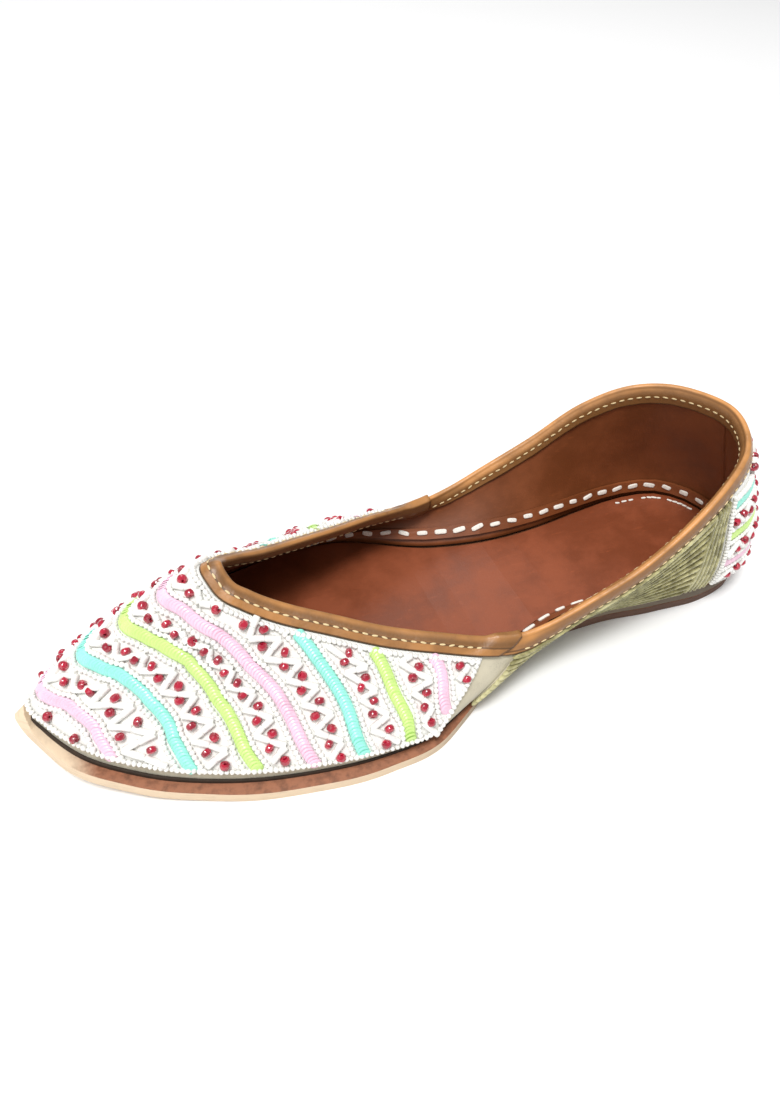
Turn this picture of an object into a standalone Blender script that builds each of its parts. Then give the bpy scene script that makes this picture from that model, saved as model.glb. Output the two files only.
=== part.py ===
"""A jutti: a flat slip-on of embroidered leather with a wide, soft sole.

Toe towards -X, heel towards +X, the side towards -Y is the one looked at,
+Z is up, and the shoe stands on the floor at z = 0.  Lengths are in metres.

The last's own surface is a fan of ribs.  Each rib starts at the feather line,
where wall and sole meet, and ends at the topline, the edge of the opening.
Every layer of the upper is a part of that one surface, moved in or out.
"""

import math

import bmesh
import bpy
import numpy as np

# Main sizes of the shoe
SHOE_LENGTH = 0.2500
BALL_WIDTH = 0.0926
INSTEP_HEIGHT = 0.0505
SIDE_HEIGHT = 0.0225
BACK_HEIGHT = 0.0600

# Sole and heel
SOLE_THICKNESS = 0.0034
HEEL_LIFT_THICKNESS = 0.0030
TOE_SPRING = 0.0075
LEDGE = 0.0040
SOLE_EDGE_ROUND = 0.0006
TOE_NUB_LENGTH = 0.0008
TOE_NUB_HALF_WIDTH = 0.0030
TOE_NUB_RISE = 0.0035
INSOLE_THICKNESS = 0.0016
INSOLE_MARGIN = 0.0006

# Walls and layers of the upper
WALL = 0.0020
BINDING_WIDTH = 0.0050
BINDING_INSIDE_WIDTH = 0.0060
BINDING_THICKNESS = 0.0010
EMBROIDERY_THICKNESS = 0.0016
CORD_PANEL_THICKNESS = 0.0013
LOWER_MARGIN = 0.0020
INNER_STRIP_LOW = 0.0024
INNER_STRIP_HIGH = 0.0070
INNER_STRIP_THICKNESS = 0.0012

# Room left between pieces that touch, between the topline and the fold over it,
# between the fold and the layers below it, behind the inner strip, and under the wall
GAP = 0.0003
WALL_SEAM = 0.0005
FOLD_ROOM = 0.0007
OVERLAY_ROOM = 0.0005
STRIP_ROOM = 0.0005

# Where the sole lifts off the floor, as shares of the length
SPRING_END = 0.27
WAIST_START = 0.52
WAIST_END = 0.67
HEEL_BREAST = 0.68

# One row for each rib of the fan, from the middle of the toe to the middle of the heel.
# foot_x and top_x are shares of SHOE_LENGTH, foot_y and top_y of half BALL_WIDTH,
# ledge of LEDGE.  to_instep and to_back lift the rib's top from SIDE_HEIGHT towards
# INSTEP_HEIGHT and BACK_HEIGHT.  flare is how far the wall's foot turns outwards from
# upright, lean how far its top falls below level, both in degrees.  low_pull and
# top_pull are how far each direction holds, as shares of the rib's straight length.
RIB_COLUMNS = ("foot_x", "foot_y", "ledge", "top_x", "top_y", "to_instep", "to_back",
               "flare", "low_pull", "lean", "top_pull")
RIBS = (
    (0.014, 0.000, 0.80, 0.256, 0.000, 1.000, 0.000, 12.0, 0.11, 22.0, 0.30),
    (0.027, 0.142, 0.90, 0.262, 0.097, 0.885, 0.000, 11.0, 0.10, 27.0, 0.28),
    (0.059, 0.378, 1.00, 0.280, 0.173, 0.775, 0.000, 9.0, 0.09, 35.0, 0.26),
    (0.117, 0.607, 1.00, 0.312, 0.255, 0.620, 0.000, 8.0, 0.10, 39.0, 0.25),
    (0.198, 0.806, 1.00, 0.364, 0.374, 0.450, 0.000, 9.0, 0.13, 42.0, 0.25),
    (0.291, 0.942, 1.00, 0.424, 0.508, 0.268, 0.000, 11.0, 0.18, 45.0, 0.26),
    (0.380, 1.000, 1.00, 0.484, 0.620, 0.140, 0.000, 14.0, 0.25, 51.0, 0.28),
    (0.445, 0.976, 0.80, 0.532, 0.695, 0.035, 0.000, 19.0, 0.30, 60.0, 0.30),
    (0.500, 0.845, 0.45, 0.572, 0.745, 0.000, 0.000, 28.0, 0.33, 71.0, 0.32),
    (0.567, 0.637, 0.15, 0.612, 0.765, 0.000, 0.045, 38.0, 0.33, 86.0, 0.33),
    (0.640, 0.495, 0.15, 0.664, 0.772, 0.000, 0.180, 41.0, 0.33, 98.0, 0.34),
    (0.728, 0.482, 0.15, 0.736, 0.765, 0.000, 0.400, 36.0, 0.34, 99.0, 0.34),
    (0.816, 0.540, 0.15, 0.806, 0.715, 0.000, 0.710, 27.0, 0.34, 95.0, 0.34),
    (0.888, 0.562, 0.15, 0.863, 0.600, 0.000, 0.900, 20.0, 0.34, 89.0, 0.34),
    (0.947, 0.495, 0.15, 0.907, 0.440, 0.000, 0.970, 15.0, 0.34, 84.0, 0.34),
    (0.984, 0.296, 0.15, 0.935, 0.235, 0.000, 0.990, 12.0, 0.34, 82.0, 0.34),
    (0.998, 0.000, 0.15, 0.947, 0.000, 0.000, 1.000, 11.0, 0.34, 82.0, 0.34),
)

# Where pieces start and stop round the fan, counted in ribs
LAST_RIB = len(RIBS) - 1
STEPS_PER_RIB = 2
STEPS_AT_TOE = 4
EMBROIDERY_END = 7.0
BINDING_MEETING = 7.5
CORD_PANEL_START = 8.0
COUNTER_START = 13.0
INNER_STRIP_START = 6.0
WALL_FRACTIONS = 8

# Colours are linear red, green and blue
RAW_LEATHER_EDGE = (0.62, 0.42, 0.28)
LIFT_LEATHER = (0.42, 0.24, 0.15)
INSOLE_LEATHER = (0.25, 0.09, 0.04)
STRIP_LEATHER = (0.20, 0.07, 0.03)
BASE_FABRIC = (0.60, 0.55, 0.45)
BINDING_LEATHER = (0.38, 0.17, 0.05)
BEADWORK_WHITE = (0.86, 0.84, 0.80)
CORD_THREAD = (0.30, 0.29, 0.13)


def spline(values, knots, wanted, odd):
    """A smooth curve through the table's values, mirrored past both ends."""
    sign = -1.0 if odd else 1.0
    points = np.concatenate(([sign * values[1]], values, [sign * values[-2]]))
    first_gap = knots[1] - knots[0]
    last_gap = knots[-1] - knots[-2]
    places = np.concatenate(([knots[0] - first_gap], knots, [knots[-1] + last_gap]))
    gaps = np.diff(places)
    slopes = np.diff(points) / gaps
    tangents = (slopes[:-1] * gaps[1:] + slopes[1:] * gaps[:-1]) / (gaps[:-1] + gaps[1:])
    index = np.clip(np.searchsorted(knots, wanted, side="right") - 1, 0, len(knots) - 2)
    width = knots[index + 1] - knots[index]
    t = (wanted - knots[index]) / width
    start = (1 + 2 * t) * (1 - t) ** 2 * values[index]
    start_pull = t * (1 - t) ** 2 * width * tangents[index]
    end = t * t * (3 - 2 * t) * values[index + 1]
    end_pull = t * t * (t - 1) * width * tangents[index + 1]
    return start + start_pull + end + end_pull


def smooth_step(t):
    t = np.clip(t, 0.0, 1.0)
    return t * t * (3.0 - 2.0 * t)


def sole_rise(x):
    """Height of the outsole's underside above the floor at x."""
    share = np.asarray(x) / SHOE_LENGTH
    spring = TOE_SPRING * np.clip(1.0 - share / SPRING_END, 0.0, None) ** 2
    waist = (share - WAIST_START) / (WAIST_END - WAIST_START)
    return spring + (HEEL_LIFT_THICKNESS + GAP) * smooth_step(waist)


def sole_top(x):
    return sole_rise(x) + SOLE_THICKNESS


class Last:
    """The outer surface of the upper, worked out from the ribs."""

    def __init__(self):
        table = np.array(RIBS)
        rib = {name: table[:, k] for k, name in enumerate(RIB_COLUMNS)}
        self.foot_x = rib["foot_x"] * SHOE_LENGTH
        self.foot_y = rib["foot_y"] * BALL_WIDTH / 2
        self.top_x = rib["top_x"] * SHOE_LENGTH
        self.top_y = rib["top_y"] * BALL_WIDTH / 2
        self.top_z = (SIDE_HEIGHT
                      + rib["to_instep"] * (INSTEP_HEIGHT - SIDE_HEIGHT)
                      + rib["to_back"] * (BACK_HEIGHT - SIDE_HEIGHT))
        self.ledge = rib["ledge"] * LEDGE
        self.flare = np.radians(rib["flare"])
        self.lean = np.radians(rib["lean"])
        self.low_pull = rib["low_pull"]
        self.top_pull = rib["top_pull"]
        foot_steps = np.hypot(np.diff(self.foot_x), np.diff(self.foot_y))
        top_steps = np.hypot(np.diff(self.top_x), np.diff(self.top_y))
        self.knots = np.concatenate(([0.0], np.cumsum((foot_steps + top_steps) / 2)))

    def place(self, ribs):
        """Distance round the fan of a place counted in ribs."""
        return np.interp(ribs, np.arange(len(self.knots)), self.knots)

    def even(self, name, place):
        return spline(getattr(self, name), self.knots, place, False)

    def odd(self, name, place):
        return spline(getattr(self, name), self.knots, place, True)

    def outward(self, x_name, y_name, place):
        """Level direction that points away from the shoe, square to an edge."""
        step = 1e-5
        before = np.maximum(place - step, self.knots[0])
        after = np.minimum(place + step, self.knots[-1])
        along_x = self.even(x_name, after) - self.even(x_name, before)
        along_y = self.odd(y_name, after) - self.odd(y_name, before)
        at_end = (place <= self.knots[0] + step) | (place >= self.knots[-1] - step)
        along_x = np.where(at_end, 0.0, along_x)
        at_heel = place >= self.knots[-1] - step
        along_y = np.where(at_end, np.where(at_heel, -1.0, 1.0), along_y)
        length = np.hypot(along_x, along_y)
        return -along_y / length, along_x / length

    def foot(self, place):
        x = self.even("foot_x", place)
        y = self.odd("foot_y", place)
        return np.stack([x, -y, sole_top(x) + WALL_SEAM], -1)

    def top(self, place):
        x = self.even("top_x", place)
        y = self.odd("top_y", place)
        return np.stack([x, -y, self.even("top_z", place)], -1)

    def handles(self, place):
        """The four control points of the rib at one place."""
        foot = self.foot(place)
        top = self.top(place)
        length = np.linalg.norm(top - foot)
        flare = self.even("flare", place)
        lean = self.even("lean", place)
        out_x, out_y = self.outward("foot_x", "foot_y", place)
        low = np.array([out_x * math.sin(flare), -out_y * math.sin(flare), math.cos(flare)])
        out_x, out_y = self.outward("top_x", "top_y", place)
        high = np.array([out_x * math.cos(lean), -out_y * math.cos(lean), -math.sin(lean)])
        low_end = foot + self.even("low_pull", place) * length * low
        high_end = top + self.even("top_pull", place) * length * high
        return foot, low_end, high_end, top

    def rib(self, place, shares):
        """Points of one rib at shares of its curve, 0 at the foot and 1 at the top."""
        a, b, c, d = self.handles(place)
        t = np.asarray(shares)[:, None]
        return (1 - t) ** 3 * a + 3 * t * (1 - t) ** 2 * b + 3 * t * t * (1 - t) * c + t ** 3 * d

    def shares(self, place, lengths):
        """Shares of a rib at lengths measured up from its foot, or down from its top
        where a length is negative."""
        fine = np.linspace(0.0, 1.0, 129)
        points = self.rib(place, fine)
        run = np.concatenate(([0.0], np.cumsum(np.linalg.norm(np.diff(points, axis=0), axis=1))))
        lengths = np.asarray(lengths, float)
        wanted = np.where(lengths < 0.0, run[-1] + lengths, lengths)
        return np.interp(wanted, run, fine)

    def normals(self, place, shares):
        """Outward normals of the surface along one rib."""
        step = 2e-4
        before = max(place - step, self.knots[0])
        after = min(place + step, self.knots[-1])
        round_fan = self.rib(after, shares) - self.rib(before, shares)
        if before == self.knots[0] or after == self.knots[-1]:
            round_fan[:, 0] = 0.0
            round_fan[:, 2] = 0.0
        shares = np.asarray(shares)
        up_rib = (self.rib(place, np.minimum(shares + 1e-3, 1.0))
                  - self.rib(place, np.maximum(shares - 1e-3, 0.0)))
        normal = np.cross(round_fan, up_rib)
        return normal / np.linalg.norm(normal, axis=1)[:, None]

    def layer(self, place, shares, depth):
        """Points of one rib moved out by depth, or in where depth is negative."""
        return self.rib(place, shares) + depth * self.normals(place, shares)


LAST = Last()


def stations(start, end):
    """Places round the fan from start to end, both counted in ribs, closer at the toe."""
    toe = [k / STEPS_AT_TOE for k in range(STEPS_AT_TOE)]
    rest = [k / STEPS_PER_RIB for k in range(STEPS_PER_RIB, LAST_RIB * STEPS_PER_RIB)]
    steps = [start] + [s for s in toe + rest if start < s < end] + [end]
    return [float(LAST.place(s)) for s in steps]


def wall_shares(place, with_rims):
    """Shares of a rib that every layer of the wall has a row of corners on."""
    levels = (LOWER_MARGIN, -(BINDING_WIDTH + OVERLAY_ROOM), -BINDING_WIDTH)
    low, high, fold = LAST.shares(place, levels)
    inner = np.linspace(low, high, WALL_FRACTIONS + 1)
    if with_rims:
        return np.concatenate(([0.0], inner, [fold, 1.0]))
    return inner


def new_material(name, colour, roughness):
    material = bpy.data.materials.new(name)
    material.use_nodes = True
    shader = material.node_tree.nodes["Principled BSDF"]
    shader.inputs["Base Color"].default_value = (*colour, 1.0)
    shader.inputs["Roughness"].default_value = roughness
    shader.inputs["Metallic"].default_value = 0.0
    material.diffuse_color = (*colour, 1.0)
    return material


def finish(name, bm, collection, colour, roughness):
    """Turn a bmesh into a smooth shaded object in the collection."""
    bmesh.ops.remove_doubles(bm, verts=bm.verts, dist=1e-6)
    mesh = bpy.data.meshes.new(name)
    bm.to_mesh(mesh)
    bm.free()
    mesh.shade_smooth()
    mesh.set_sharp_from_angle(angle=math.radians(40))
    mesh.materials.append(new_material(name, colour, roughness))
    part = bpy.data.objects.new(name, mesh)
    collection.objects.link(part)
    return part


def loft(sections, flipped=False, closed=False, cap_start=False, cap_end=False, downward=()):
    """A skin of triangles over a row of like sections, split the same way on every
    layer, so that layers with shared corners stay as far apart between them.
    downward names the strips whose section runs from the topline down."""
    bm = bmesh.new()
    grid = [[bm.verts.new(point) for point in section] for section in sections]
    count = len(sections[0])
    for near, far in zip(grid[:-1], grid[1:]):
        for k in range(count if closed else count - 1):
            corner = (k + 1) % count
            a, b, c, d = near[k], near[corner], far[corner], far[k]
            for face in ((a, b, d), (b, c, d)) if k in downward else ((a, b, c), (a, c, d)):
                bm.faces.new(face[::-1] if flipped else face)
    for row, wanted, over in ((grid[0], cap_start, not flipped), (grid[-1], cap_end, flipped)):
        for k in range(count // 2 - 1 if wanted else 0):
            face = [row[k], row[k + 1], row[count - 2 - k], row[count - 1 - k]]
            bm.faces.new(face[::-1] if over else face)
    return bm


def mirror_across_middle(part):
    modifier = part.modifiers.new("Mirror", "MIRROR")
    modifier.use_axis = (False, True, False)
    modifier.use_mirror_merge = True
    modifier.merge_threshold = 0.00005


def thicken(part, thickness, outwards):
    modifier = part.modifiers.new("Solidify", "SOLIDIFY")
    modifier.thickness = thickness
    modifier.offset = 1.0 if outwards else -1.0
    modifier.use_even_offset = True
    modifier.use_rim = True


def flatten_middle(sections, first, last):
    """Put the sections that lie on the middle plane exactly on it."""
    if first:
        sections[0][:, 1] = 0.0
    if last:
        sections[-1][:, 1] = 0.0
    return sections


def outline(place, margin):
    """A point of the sole's outline, margin inside its edge."""
    x, y, _ = LAST.foot(place)
    out_x, out_y = LAST.outward("foot_x", "foot_y", place)
    reach = LAST.even("ledge", place) - margin
    x = x + out_x * reach
    y = y - out_y * reach
    nub = math.exp(-(y / TOE_NUB_HALF_WIDTH) ** 2) if x < SHOE_LENGTH / 4 else 0.0
    return x - nub * TOE_NUB_LENGTH, y, nub * TOE_NUB_RISE


def slab_sections(places, margin, low, high):
    """Sections of half a flat piece with rounded edges that follows the sole's outline."""
    sections = []
    edge = SOLE_EDGE_ROUND
    for place in places:
        x, y, lift = outline(place, margin)
        x_in, y_in, lift_in = outline(place, margin + edge)
        y_in = min(y_in, 0.0)
        sections.append(np.array([
            (x_in, 0.0, low(x_in) + lift_in),
            (x_in, y_in, low(x_in) + lift_in),
            (x, y, low(x) + edge + lift),
            (x, y, high(x) - edge + lift),
            (x_in, y_in, high(x_in) + lift_in),
            (x_in, 0.0, high(x_in) + lift_in),
        ]))
    return sections


def build_outsole(collection):
    """Wide flat leather sole that stands proud of the upper round the forepart."""
    sections = slab_sections(stations(0, LAST_RIB), 0.0, sole_rise, sole_top)
    sections = flatten_middle(sections, True, True)
    part = finish("outsole", loft(sections, flipped=True), collection, RAW_LEATHER_EDGE, 0.75)
    mirror_across_middle(part)
    return part


def build_heel_lift(collection):
    """Second layer of leather under the heel seat, cut straight at its front."""
    breast = HEEL_BREAST * SHOE_LENGTH
    foot_x = LAST.even("foot_x", LAST.knots)
    start = float(np.interp(breast, foot_x, np.arange(len(RIBS))))
    places = stations(start, LAST_RIB)
    sections = slab_sections(places, 0.0, lambda x: 0.0, lambda x: sole_rise(x) - GAP)
    sections = flatten_middle(sections, False, True)
    sections[0][:, 0] = breast
    bm = loft(sections, flipped=True, cap_start=True)
    part = finish("heel_lift", bm, collection, LIFT_LEATHER, 0.8)
    mirror_across_middle(part)
    return part


def build_insole(collection):
    """Thin leather bed inside the wall."""
    places = stations(0, LAST_RIB)
    sections = []
    for place in places:
        x, y, _ = LAST.foot(place)
        out_x, out_y = LAST.outward("foot_x", "foot_y", place)
        inset = WALL + GAP + INSOLE_MARGIN
        x -= out_x * inset
        y = min(y + out_y * inset, 0.0)
        low = sole_top(x) + GAP
        sections.append(np.array([
            (x, 0.0, low),
            (x, y, low),
            (x, y, low + INSOLE_THICKNESS),
            (x, 0.0, low + INSOLE_THICKNESS),
        ]))
    sections = flatten_middle(sections, True, True)
    part = finish("insole", loft(sections, flipped=True), collection, INSOLE_LEATHER, 0.55)
    mirror_across_middle(part)
    return part


def build_upper(collection):
    """One hollow wall, open at the topline and underneath."""
    sections = [LAST.rib(place, wall_shares(place, True)) for place in stations(0, LAST_RIB)]
    sections = flatten_middle(sections, True, True)
    part = finish("upper", loft(sections, flipped=True), collection, BASE_FABRIC, 0.7)
    mirror_across_middle(part)
    thicken(part, WALL, False)
    return part


def overlay_sections(start, end):
    """Sections of a layer that lies on the wall between the two plain margins."""
    return [LAST.layer(place, wall_shares(place, False), GAP) for place in stations(start, end)]


def build_vamp_embroidery(collection):
    """Padded beadwork over the front of the upper."""
    sections = flatten_middle(overlay_sections(0, EMBROIDERY_END), True, False)
    part = finish("vamp_embroidery", loft(sections, flipped=True), collection, BEADWORK_WHITE, 0.4)
    mirror_across_middle(part)
    thicken(part, EMBROIDERY_THICKNESS, True)
    return part


def build_heel_counter(collection):
    """Padded beadwork round the back of the heel."""
    sections = flatten_middle(overlay_sections(COUNTER_START, LAST_RIB), False, True)
    part = finish("heel_counter", loft(sections, flipped=True), collection, BEADWORK_WHITE, 0.4)
    mirror_across_middle(part)
    thicken(part, EMBROIDERY_THICKNESS, True)
    return part


def build_side_panel(name, far_side, collection):
    """Corded panel between the vamp and the heel, one on each side."""
    before_counter = LAST.place(COUNTER_START) - EMBROIDERY_THICKNESS - GAP
    end = float(np.interp(before_counter, LAST.knots, np.arange(len(RIBS))))
    sections = overlay_sections(CORD_PANEL_START, end)
    if far_side:
        sections = [section * (1.0, -1.0, 1.0) for section in sections]
    part = finish(name, loft(sections, flipped=not far_side), collection, CORD_THREAD, 0.8)
    thicken(part, CORD_PANEL_THICKNESS, True)
    return part


def binding_section(place):
    """The folded strip's section: outer skin down one side, then back up inside it."""
    thick = BINDING_THICKNESS
    inside = -WALL - GAP
    middle = -WALL / 2
    shoulder = FOLD_ROOM + 0.7 * thick
    outer_skin = ((-BINDING_WIDTH, GAP + thick), (0.0, GAP + thick),
                  (shoulder, GAP + 0.3 * thick), (FOLD_ROOM + thick, middle),
                  (shoulder, inside - 0.3 * thick),
                  (0.0, inside - thick), (-BINDING_INSIDE_WIDTH, inside - thick))
    inner_skin = ((-BINDING_WIDTH, GAP), (0.0, GAP), (FOLD_ROOM, GAP), (FOLD_ROOM, middle),
                  (FOLD_ROOM, inside), (0.0, inside), (-BINDING_INSIDE_WIDTH, inside))
    points = []
    for above, depth in outer_skin + inner_skin[::-1]:
        share = LAST.shares(place, [above]) if above < 0.0 else np.array([1.0])
        point = LAST.layer(place, share, depth)[0]
        if above > 0.0:
            a, b = LAST.rib(place, [0.98, 1.0])
            point = point + above * (b - a) / np.linalg.norm(b - a)
        points.append(point)
    return np.array(points)


def build_bindings(collection):
    """Leather strip folded over the topline, in a front and a rear length."""
    meeting = LAST.place(BINDING_MEETING)
    half_gap = GAP / 2
    ribs = np.arange(len(RIBS))
    front_end = float(np.interp(meeting - half_gap, LAST.knots, ribs))
    rear_start = float(np.interp(meeting + half_gap, LAST.knots, ribs))
    front = [binding_section(place) for place in stations(0, front_end)]
    front = flatten_middle(front, True, False)
    rear = [binding_section(place) for place in stations(rear_start, LAST_RIB)]
    rear = flatten_middle(rear, False, True)
    for name, sections, cap_start, cap_end in (
            ("vamp_binding", front, False, True), ("quarter_binding", rear, True, False)):
        outer_leg = len(sections[0]) - 2
        bm = loft(sections, flipped=True, closed=True, cap_start=cap_start, cap_end=cap_end,
                  downward=(outer_leg,))
        part = finish(name, bm, collection, BINDING_LEATHER, 0.5)
        mirror_across_middle(part)


def build_inner_strip(collection):
    """Strip sewn round the inside, over the joint of wall and insole."""
    sections = []
    for place in stations(INNER_STRIP_START, LAST_RIB):
        shares = LAST.shares(place, np.linspace(INNER_STRIP_LOW, INNER_STRIP_HIGH, 3))
        sections.append(LAST.layer(place, shares, -WALL - STRIP_ROOM))
    sections = flatten_middle(sections, False, True)
    part = finish("inner_strip", loft(sections, flipped=True), collection, STRIP_LEATHER, 0.6)
    mirror_across_middle(part)
    thicken(part, INNER_STRIP_THICKNESS, False)
    return part


def clear_scene():
    for item in list(bpy.data.objects):
        bpy.data.objects.remove(item, do_unlink=True)


def stand_on_origin(collection):
    """Carry every piece on one empty, so that the shoe's middle is over the origin."""
    bpy.context.view_layer.update()
    graph = bpy.context.evaluated_depsgraph_get()
    ends = []
    for part in collection.objects:
        ends += [corner[0] for corner in part.evaluated_get(graph).bound_box]
    carrier = bpy.data.objects.new("jutti_middle", None)
    carrier.location.x = -(min(ends) + max(ends)) / 2
    for part in list(collection.objects):
        part.parent = carrier
    collection.objects.link(carrier)


def main():
    clear_scene()
    collection = bpy.data.collections.new("jutti")
    bpy.context.scene.collection.children.link(collection)
    build_outsole(collection)
    build_heel_lift(collection)
    build_insole(collection)
    build_upper(collection)
    build_inner_strip(collection)
    build_vamp_embroidery(collection)
    build_side_panel("side_panel_near", False, collection)
    build_side_panel("side_panel_far", True, collection)
    build_heel_counter(collection)
    build_bindings(collection)
    stand_on_origin(collection)


main()
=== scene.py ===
import math

import bmesh
import bpy
import numpy as np
from bpy.props import FloatProperty, FloatVectorProperty, PointerProperty
from mathutils import Matrix, Vector


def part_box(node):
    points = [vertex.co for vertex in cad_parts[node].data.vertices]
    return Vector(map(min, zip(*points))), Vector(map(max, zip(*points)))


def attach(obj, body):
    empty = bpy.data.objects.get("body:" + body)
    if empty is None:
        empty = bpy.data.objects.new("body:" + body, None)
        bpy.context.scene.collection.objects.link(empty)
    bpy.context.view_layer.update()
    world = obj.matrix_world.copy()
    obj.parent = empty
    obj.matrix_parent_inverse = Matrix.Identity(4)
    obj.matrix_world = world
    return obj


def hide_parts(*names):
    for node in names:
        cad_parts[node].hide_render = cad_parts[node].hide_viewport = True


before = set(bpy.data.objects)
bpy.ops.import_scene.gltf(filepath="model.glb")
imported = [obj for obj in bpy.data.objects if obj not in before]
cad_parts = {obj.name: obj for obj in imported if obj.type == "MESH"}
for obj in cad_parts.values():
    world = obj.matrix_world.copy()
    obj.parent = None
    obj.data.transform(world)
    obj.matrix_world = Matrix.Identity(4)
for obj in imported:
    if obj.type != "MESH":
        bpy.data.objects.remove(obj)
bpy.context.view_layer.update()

bl_info = {
    "name": "Jutti Dressing",
    "version": (1, 0, 0),
    "blender": (4, 5, 0),
    "location": "3D View > Sidebar > Jutti",
    "description": "Beadwork, leathers, cords and stitches for a jutti",
    "category": "Object",
}

MM = 0.001
SHARP_ANGLE = math.radians(40)
FLIP = Matrix.Diagonal((1.0, -1.0, 1.0, 1.0))

# The last, in the same sizes as the solids
SHOE_LENGTH = 250 * MM
BALL_WIDTH = 92.6 * MM
INSTEP_HEIGHT = 50.5 * MM
SIDE_HEIGHT = 22.5 * MM
BACK_HEIGHT = 60 * MM
SOLE_THICKNESS = 3.4 * MM
HEEL_LIFT_THICKNESS = 3.0 * MM
TOE_SPRING = 7.5 * MM
LEDGE = 4 * MM
TOE_NUB_LENGTH = 0.8 * MM
TOE_NUB_HALF_WIDTH = 5.2 * MM
TOE_NUB_RISE = 4.6 * MM
INSOLE_THICKNESS = 1.6 * MM
WALL = 2 * MM
BINDING_WIDTH = 5.0 * MM
LOWER_MARGIN = 2 * MM
BEADED_MARGIN = 4.3 * MM
STRIP_ROOM = 0.5 * MM
STRIP_THICKNESS = 1.2 * MM
GAP = 0.3 * MM
WALL_SEAM = 0.5 * MM
SPRING_END = 0.27
WAIST_START = 0.52
WAIST_END = 0.67
HEEL_BREAST = 0.68

# Layers on the wall, with depths counted outward from its face
GROUND_THICKNESS = 0.5 * MM
GROUND_TOP = GAP + GROUND_THICKNESS
WEAVE_PITCH = 0.55 * MM
WALL_LAYER = 0.95 * MM
WALL_TOP_ROOM = 2 * MM
# The strip of painted shadow at the seam between the upper and the sole
SEAM_LOW = -0.5 * MM
SEAM_HIGH = 0.9 * MM
SEAM_DEPTH = 0.4 * MM
SEAM_THICKNESS = 0.9 * MM
PANEL_BELOW_BINDING = 0.5 * MM
BACKING_DEPTH = 0.1 * MM
BACKING_THICKNESS = 0.3 * MM
FOLD_THICKNESS = 0.65 * MM
FOLD_INSIDE = 5.8 * MM
OUTER_LEG = 0.65 * MM
INNER_LEG = -2.4 * MM
ROLL_OUTER = 0.0 * MM
ROLL_INNER = -1.4 * MM
ROLL_LENGTH = 2.4 * MM
ROLL_FROM = 0.4
ROLL_TO = 0.6
FRONT_CUT = 0.08
LAP_BEFORE = 0.42
LAP_RISE = 0.3
LAP_ROOM = 0.05 * MM
VAMP_STITCHES = 2.3 * MM
QUARTER_STITCHES = 3.8 * MM
INSIDE_STITCHES = 2.9 * MM
STITCH_LIFT = 0.08 * MM
STITCH_WIDTH = 0.6 * MM
STITCH_HEIGHT = 0.45 * MM
LACE_HEIGHT = 5.0 * MM
INSOLE_STITCHES_INSIDE = 6.3 * MM

# Where painted shade darkens the sole's edge, and where its top goes from pale to brown
EDGE_SHADE_ACROSS = (-28 * MM, -6 * MM)
EDGE_SHADE_ALONG = (-30 * MM, 30 * MM)
PALE_TIP = (-116 * MM, -106 * MM)

# Beads: how deep they sit, and the room they keep from the edges of their field
SEED_SINK = 0.15 * MM
SEQUIN_LIFT = 0.55 * MM
SEQUIN_LEAN = math.radians(24)
STRIP_ROOM_AT_EDGE = 0.6 * MM
TUBE_ROOM_AT_EDGE = 1.6 * MM
GLASS_ROOM_AT_EDGE = 1.3 * MM
TUBE_END_ABOVE_SOLE = 2.2 * MM
VAMP_BEADS_BELOW_BINDING = 1.0 * MM
COUNTER_BEADS_BELOW_BINDING = 0.8 * MM
EDGE_ROW_BELOW_BINDING = 1.5 * MM

# One row for each rib, as shares of the sizes above, with angles in degrees
RIB_COLUMNS = ("foot_x", "foot_y", "ledge", "top_x", "top_y", "to_instep", "to_back",
               "flare", "low_pull", "lean", "top_pull")
RIBS = (
    (0.014, 0.000, 0.80, 0.256, 0.000, 1.000, 0.000, 12.0, 0.11, 22.0, 0.30),
    (0.027, 0.142, 0.90, 0.262, 0.097, 0.885, 0.000, 11.0, 0.10, 27.0, 0.28),
    (0.059, 0.378, 1.00, 0.280, 0.173, 0.775, 0.000, 9.0, 0.09, 35.0, 0.26),
    (0.117, 0.607, 1.00, 0.312, 0.255, 0.620, 0.000, 8.0, 0.10, 39.0, 0.25),
    (0.198, 0.806, 1.00, 0.364, 0.374, 0.450, 0.000, 9.0, 0.13, 42.0, 0.25),
    (0.291, 0.942, 1.00, 0.424, 0.508, 0.268, 0.000, 11.0, 0.18, 45.0, 0.26),
    (0.380, 1.000, 1.00, 0.484, 0.620, 0.140, 0.000, 14.0, 0.25, 51.0, 0.28),
    (0.445, 0.976, 0.80, 0.532, 0.695, 0.035, 0.000, 19.0, 0.30, 60.0, 0.30),
    (0.500, 0.845, 0.45, 0.572, 0.745, 0.000, 0.000, 28.0, 0.33, 71.0, 0.32),
    (0.567, 0.637, 0.15, 0.612, 0.765, 0.000, 0.045, 38.0, 0.33, 86.0, 0.33),
    (0.640, 0.495, 0.15, 0.664, 0.772, 0.000, 0.180, 41.0, 0.33, 98.0, 0.34),
    (0.728, 0.482, 0.15, 0.736, 0.765, 0.000, 0.400, 36.0, 0.34, 99.0, 0.34),
    (0.816, 0.540, 0.15, 0.806, 0.715, 0.000, 0.710, 27.0, 0.34, 95.0, 0.34),
    (0.888, 0.562, 0.15, 0.863, 0.600, 0.000, 0.900, 20.0, 0.34, 89.0, 0.34),
    (0.947, 0.495, 0.15, 0.907, 0.440, 0.000, 0.970, 15.0, 0.34, 84.0, 0.34),
    (0.984, 0.296, 0.15, 0.935, 0.235, 0.000, 0.990, 12.0, 0.34, 82.0, 0.34),
    (0.998, 0.000, 0.15, 0.947, 0.000, 0.000, 1.000, 11.0, 0.34, 82.0, 0.34),
)
LAST_RIB = len(RIBS) - 1

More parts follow.
